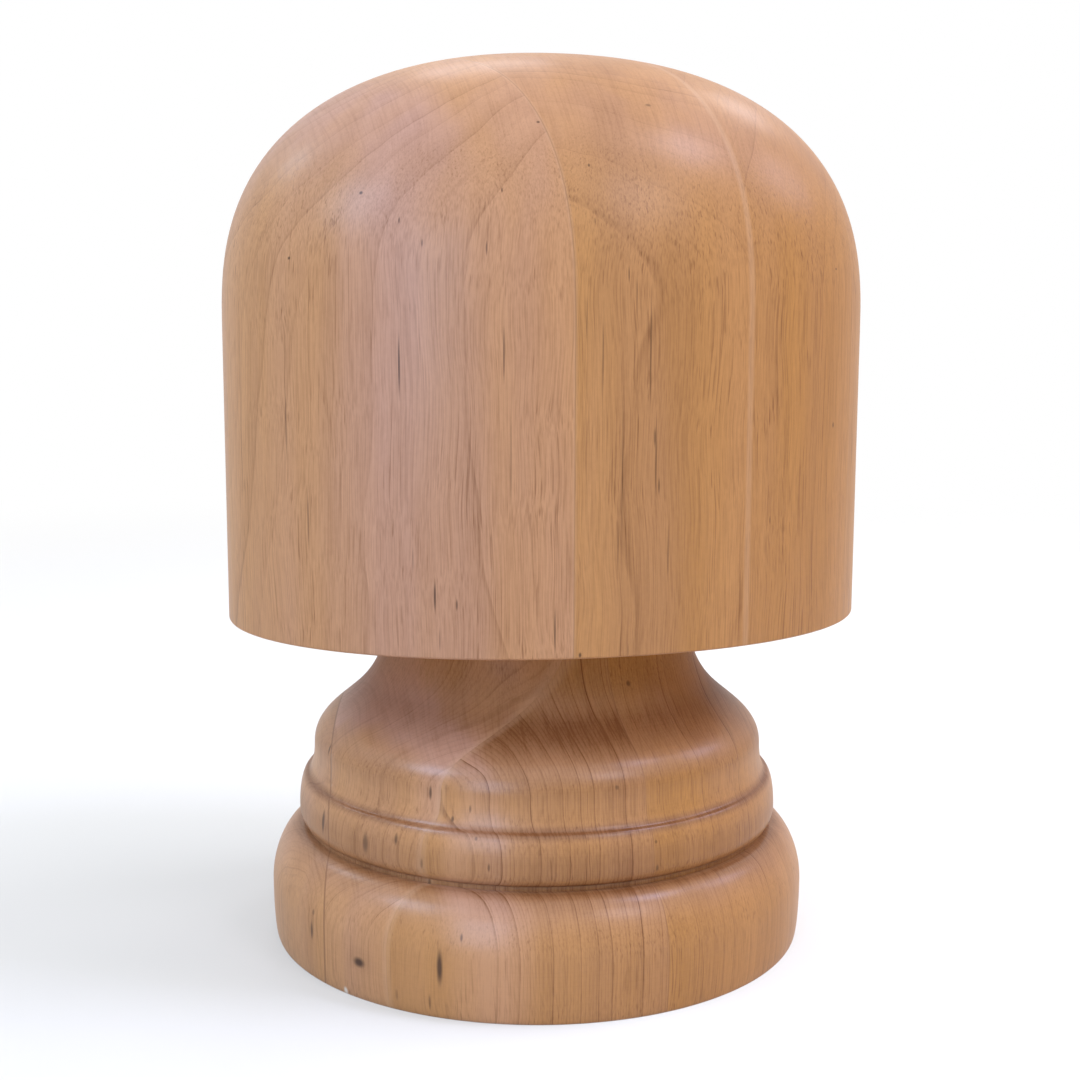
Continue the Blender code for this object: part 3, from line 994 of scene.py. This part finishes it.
    def marks(self) -> tuple[Mark, ...]:
        """The flecks, knot and chip that show in the base."""
        return tuple(Mark(*mark) for mark in (
            ((-0.0677, -0.0539, 0.0117), 0.00200, 0.7, 0.95),
            ((-0.0673, -0.0544, 0.0124), 0.00480, 0.8, 0.13),
            ((-0.0791, -0.0353, 0.0154), 0.00070, 3.6, 0.70),
            ((-0.0787, -0.0359, 0.0212), 0.00060, 1.5, 0.50),
            ((-0.0474, -0.0722, 0.0156), 0.00085, 5.5, 0.90),
            ((-0.0499, -0.0701, 0.0045), 0.00037, 6.4, 0.55),
            ((-0.0582, -0.0634, 0.0049), 0.00044, 3.9, 0.35),
            ((-0.0419, -0.0751, 0.0248), 0.00039, 4.3, 0.60),
            ((-0.0464, -0.0555, 0.0617), 0.00047, 4.3, 0.75),
            ((-0.0498, -0.0591, 0.0419), 0.00044, 3.3, 0.45),
            ((-0.0505, -0.0621, 0.0355), 0.00051, 3.0, 0.60),
            ((-0.0401, -0.0592, 0.0549), 0.00046, 2.1, 0.70),
            ((-0.0361, -0.0624, 0.0582), 0.00034, 3.3, 0.50),
            ((-0.0347, -0.0655, 0.0508), 0.00043, 1.5, 0.50),
            ((-0.0326, -0.0700, 0.0429), 0.00037, 3.1, 0.60),
            ((0.0150, -0.0492, 0.0890), 0.00070, 1.3, 0.60),
            ((0.0045, -0.0718, 0.0642), 0.00054, 1.2, 0.50),
            ((0.0152, -0.0742, 0.0482), 0.00046, 1.1, 0.55),
            ((0.0157, -0.0755, 0.0405), 0.00050, 2.0, 0.55),
            ((-0.0717, -0.0232, 0.0452), 0.00085, 4.2, 0.80),
            ((-0.0697, -0.0152, 0.0655), 0.00055, 7.0, 0.75),
            ((-0.0637, -0.0438, 0.0440), 0.00110, 2.6, 0.60),
            ((-0.0556, -0.0522, 0.0476), 0.00060, 2.8, 0.65),
            ((-0.0706, -0.0482, 0.0010), 0.00076, 1.6, -0.80)))

    def on_surface(self, mark: Mark) -> Mark:
        """Moves a mark straight out from the axis onto the turned surface."""
        x, y, z = mark.place
        outline = self.outline()
        radius = next(low[0] + (high[0] - low[0]) * (z - low[1]) / (high[1] - low[1])
                      for low, high in zip(outline, outline[1:]) if low[1] <= z < high[1])
        share = radius / math.hypot(x, y)
        return replace(mark, place=(x * share, y * share, z))

    def build(self) -> None:
        """Turns, saws and finishes the base's boards."""
        work = turned("base_shape", self.outline(), self.sides)
        work.drill(bore_cutter("base_bore", self.bore, self.bore_floor, self.height, self.flare))
        saw(self, work, Body.BASE, self.lathe, self.stain_and_shade_hoops)


@dataclass
class Peg:
    """The loose peg that the crown turns and lifts on.

    Its rims, which are chamfered, are the edges that bend by more than the rim angle.
    """

    radius: float = 0.0095
    foot: float = 0.0590
    top: float = 0.1443
    chamfer: float = 0.0012
    chamfer_steps: int = 3
    rim_angle: float = 1.0
    sides: int = 96
    lathe: float = 0.12
    timber: Timber = Timber((0.05, 0.03), ring=0.0030, seed=3.3)
    finish: WoodFinish = WoodFinish(light=(0.62, 0.42, 0.25), blush=(0.60, 0.40, 0.24),
                                    honey=(0.60, 0.39, 0.20), roughness=0.55, coat=0.0)

    def build(self) -> None:
        """Turns the peg, chamfers its ends and finishes it."""
        work = turned("peg_wood", [(self.radius, self.foot), (self.radius, self.top)], self.sides)
        work.edit()
        work.select_edges(lambda edge: edge.calc_face_angle(0.0) > self.rim_angle)
        bpy.ops.mesh.bevel(offset=self.chamfer, offset_type="OFFSET", segments=self.chamfer_steps,
                           profile=0.5)
        work.leave()
        smooth(work.item)
        material = self.finish.material("peg_wood", self.timber, lathe=self.lathe)
        seat(work.item, material, Body.PEG)


@dataclass(frozen=True)
class Lamp:
    """A soft rectangular lamp, placed by its direction as the camera sees it.

    Azimuth 0 is the camera's side and 90 its right. The level is the lamp's own brightness.
    """

    name: str
    azimuth: float
    elevation: float
    width: float
    height: float
    level: float
    tint: Colour = (1.0, 1.0, 1.0)
    distance: float = 1.5
    floor_only: bool = False


@dataclass
class Studio:
    """The camera, lamps, floor and surroundings.

    The eye is the camera's place as it sees it: to the right, ahead and above the crown's underside.
    """

    view_turn: float = math.radians(15.0)
    tilt: float = 0.139
    roll: float = 0.003
    eye: Place = (-0.0017, -0.50607, 0.0927)
    crown_middle: float = 0.0026
    crown_level: float = 0.1043
    lens: float = 52.33
    sensor: float = 36.0
    lamp_aim: Place = (0.0, 0.0, 0.15)
    sky_rise: Step = (0.20, 0.55)
    sky_low: Colour = (0.34, 0.26, 0.20)
    sky_high: Colour = (1.02, 1.02, 1.04)
    floor_tone: Colour = (0.43, 0.375, 0.28)
    floor_shown: Colour = (0.646, 0.640, 0.606)
    floor_lift: float = 0.30
    floor_fade: Step = (0.45, 1.30)
    floor_size: float = 60.0
    lamps: tuple[Lamp, ...] = (
        Lamp("front_window", -23.0, 11.0, 0.52, 0.85, 5.1, (0.27, 0.56, 1.0)),
        Lamp("left_window", -60.0, 34.0, 0.50, 0.42, 9.6, (0.48, 0.67, 1.0)),
        Lamp("left_rear", -116.0, 37.0, 0.23, 0.23, 10.6, (0.46, 0.72, 1.0)),
        Lamp("high_rear", -172.0, 47.0, 0.34, 0.26, 5.6, (0.90, 0.92, 1.0)),
        Lamp("high_right", 78.0, 54.0, 0.36, 0.36, 13.8, (0.62, 0.66, 1.0)),
        Lamp("right_rear", 144.0, 41.0, 0.35, 0.25, 7.0, (0.95, 0.93, 1.0)),
        Lamp("right_window", 106.0, 33.0, 0.40, 0.40, 5.6, (0.56, 0.62, 1.0)),
        Lamp("front_right", 42.0, 36.0, 0.40, 0.45, 6.4, (0.94, 0.86, 1.0)),
        Lamp("floor_key", 92.0, 40.0, 1.10, 1.10, 4.5, floor_only=True))

    def turned_by(self, x: float, y: float, z: float) -> Vector:
        """A direction that the camera sees, in the object's own axes."""
        c, s = math.cos(self.view_turn), math.sin(self.view_turn)
        return Vector((x * c + y * s, -x * s + y * c, z))

    def add_camera(self) -> None:
        """Adds the camera at the photographed angle."""
        bpy.ops.object.camera_add()
        camera = bpy.context.object
        camera.data.lens, camera.data.sensor_width = self.lens, self.sensor
        camera.location = self.turned_by(*self.eye) + Vector((self.crown_middle, 0.0, self.crown_level))
        ahead = self.turned_by(0.0, math.cos(self.tilt), -math.sin(self.tilt))
        level = ahead.to_track_quat("-Z", "Y")
        camera.rotation_euler = (level @ Quaternion(UP, self.roll)).to_euler()
        bpy.context.scene.camera = camera

    def add_lamps(self) -> None:
        """Hangs the soft lamps round the object."""
        floor_group = bpy.data.collections.new("floor_group")
        floor_group.objects.link(bpy.data.objects["floor"])
        for lamp in self.lamps:
            azimuth, elevation = math.radians(lamp.azimuth), math.radians(lamp.elevation)
            away = self.turned_by(math.sin(azimuth) * math.cos(elevation),
                                  -math.cos(azimuth) * math.cos(elevation), math.sin(elevation))
            bpy.ops.object.light_add(type="AREA", location=Vector(self.lamp_aim) + away * lamp.distance)
            light = bpy.context.object
            light.name = lamp.name
            light.rotation_euler = (-away).to_track_quat("-Z", "Y").to_euler()
            light.data.shape, light.data.size, light.data.size_y = "RECTANGLE", lamp.width, lamp.height
            light.data.energy = math.pi * lamp.width * lamp.height * lamp.level
            light.data.color = lamp.tint
            light.visible_camera = False
            if lamp.floor_only:
                light.light_linking.receiver_collection = floor_group

    def add_floor(self) -> None:
        """Lays the pale floor, which keeps the object's shadow."""
        bpy.ops.object.select_all(action="DESELECT")
        bpy.ops.mesh.primitive_plane_add(size=self.floor_size)
        floor = bpy.context.object
        floor.name = "floor"
        made = bpy.data.materials.new("floor")
        sheet = NodeSheet(made)
        seen = self.seen(sheet)
        tone = sheet.blend(self.floor_tone, self.floor_shown, seen)
        plain = sheet.node("ShaderNodeBsdfDiffuse", inputs={"Color": tone})
        white = sheet.node("ShaderNodeEmission", inputs={"Strength": 1.0})
        away = sheet.node("ShaderNodeVectorMath", {"operation": "LENGTH"}, {0: sheet.place()}, "Value")
        lift = away.fade(*self.floor_fade) * (1.0 - self.floor_lift) + self.floor_lift
        mixed = sheet.node("ShaderNodeMixShader", inputs={0: seen * lift, 1: plain, 2: white})
        sheet.node("ShaderNodeOutputMaterial", inputs={"Surface": mixed})
        floor.data.materials.append(made)

    def seen(self, sheet: NodeSheet) -> Signal:
        """Tells the rays that show the surroundings as they look from those that light the object."""
        rays = [sheet.node("ShaderNodeLightPath", output=name)
                for name in ("Is Camera Ray", "Is Glossy Ray", "Is Transmission Ray")]
        return rays[0].most(rays[1]).most(rays[2])

    def add_sky(self) -> None:
        """Surrounds all with a soft light, brighter overhead, that shows as white."""
        world = bpy.data.worlds.new("surroundings")
        bpy.context.scene.world = world
        sheet = NodeSheet(world)
        height = sheet.along(sheet.node("ShaderNodeTexCoord", output="Generated"), UP)
        tone = sheet.blend(self.sky_low, self.sky_high, height.fade(*self.sky_rise))
        soft = sheet.node("ShaderNodeBackground", inputs={"Color": tone, "Strength": 1.0})
        white = sheet.node("ShaderNodeBackground", inputs={"Color": (1.0, 1.0, 1.0, 1.0), "Strength": 1.0})
        mixed = sheet.node("ShaderNodeMixShader", inputs={0: self.seen(sheet), 1: soft, 2: white})
        sheet.node("ShaderNodeOutputWorld", inputs={"Surface": mixed})

    def build(self) -> None:
        """Sets up everything that isn't the object."""
        self.add_camera()
        self.add_floor()
        self.add_lamps()
        self.add_sky()
        bpy.context.scene.view_settings.view_transform = "Standard"


def main() -> None:
    """Builds the hat block and the studio."""
    logging.basicConfig(level=logging.INFO)
    for part in (Base(), Peg(), Crown(), Studio()):
        part.build()


if __name__ == "__main__":
    main()
